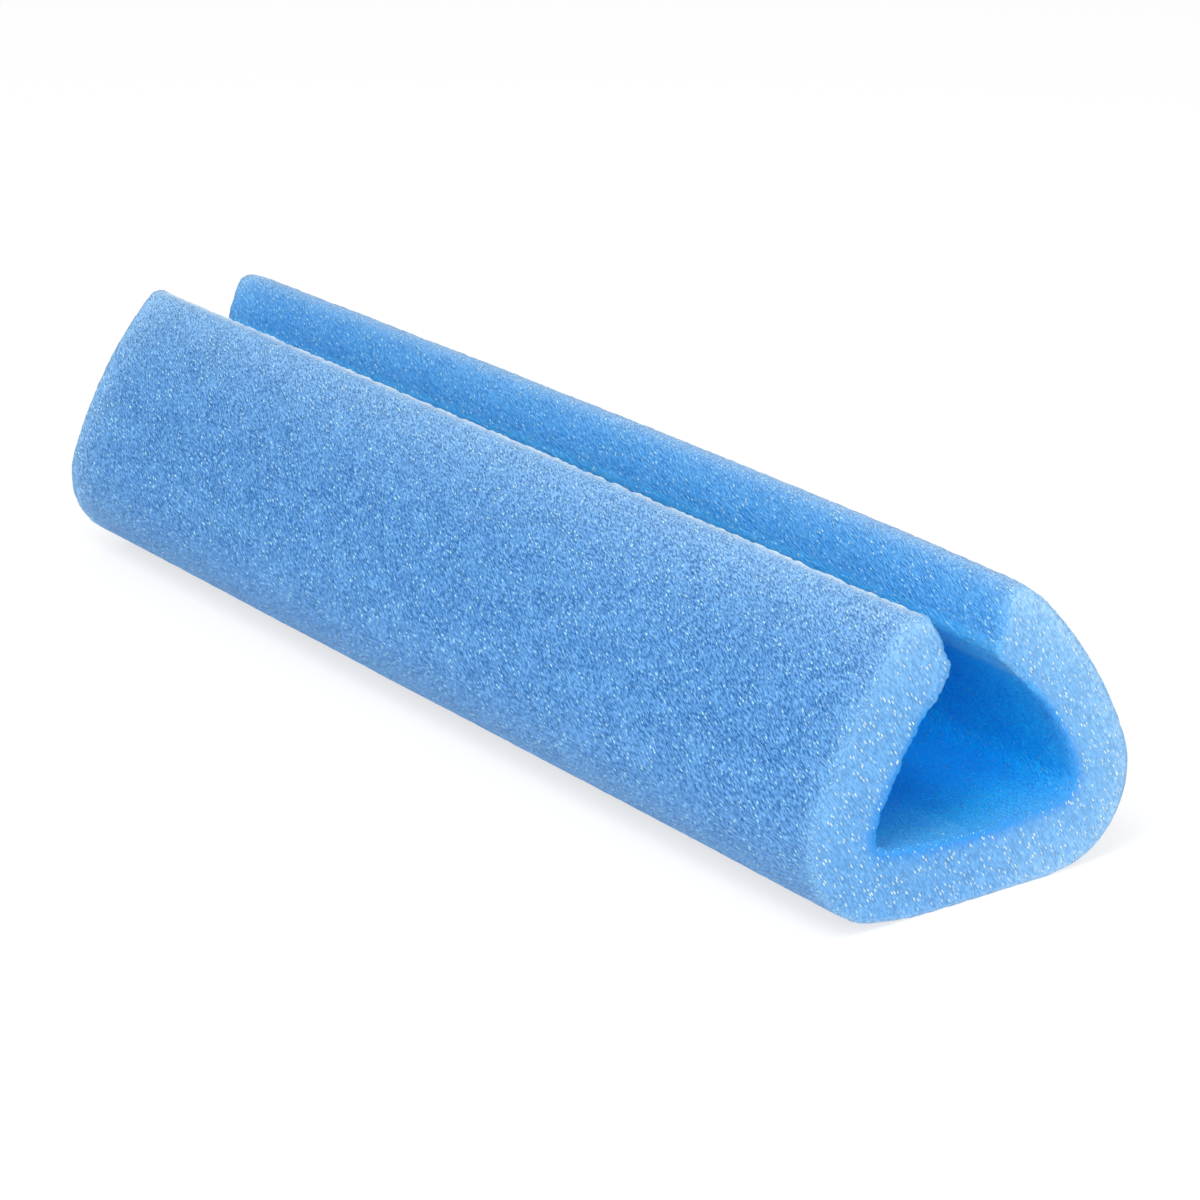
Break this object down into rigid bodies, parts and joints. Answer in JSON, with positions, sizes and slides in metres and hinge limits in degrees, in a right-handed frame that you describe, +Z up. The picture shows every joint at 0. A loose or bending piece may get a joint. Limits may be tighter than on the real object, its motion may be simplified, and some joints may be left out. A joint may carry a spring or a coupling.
{
  "type": "foam edge protector",
  "caption": "Strip of U-shaped foam edge protector whose inward-leaning arms flex open, spring back and grip the edge of a board.",
  "frame": {"origin": "middle of the strip's length and width, on the flat that it rests on", "axes": "+X along the strip, +Y from the front arm to the rear arm, +Z up from the web to the mouth"},
  "size_m": [0.19, 0.05, 0.0391],
  "materials": {
    "foam": "light blue closed-cell polyethylene foam, matt and slightly sparkling, with cells about 1 mm across"
  },
  "bodies": {
    "base": {"base_web": "foam", "front_corner": "foam", "rear_corner": "foam"},
    "front_arm": {"front_arm": "foam"},
    "rear_arm": {"rear_arm": "foam"}
  },
  "joints": [
    {"name": "front_arm_flex", "type": "hinge", "parent": "base", "child": "front_arm", "pos_m": [0, -0.01862, 0.00917], "axis": [1, 0, 0], "range_deg": [-9, 28], "stiffness_Nm_per_rad": 0.15, "deforming": ["front_corner"]},
    {"name": "rear_arm_flex", "type": "hinge", "parent": "base", "child": "rear_arm", "pos_m": [0, 0.01862, 0.00917], "axis": [-1, 0, 0], "range_deg": [-9, 28], "stiffness_Nm_per_rad": 0.15, "deforming": ["rear_corner"]}
  ]
}
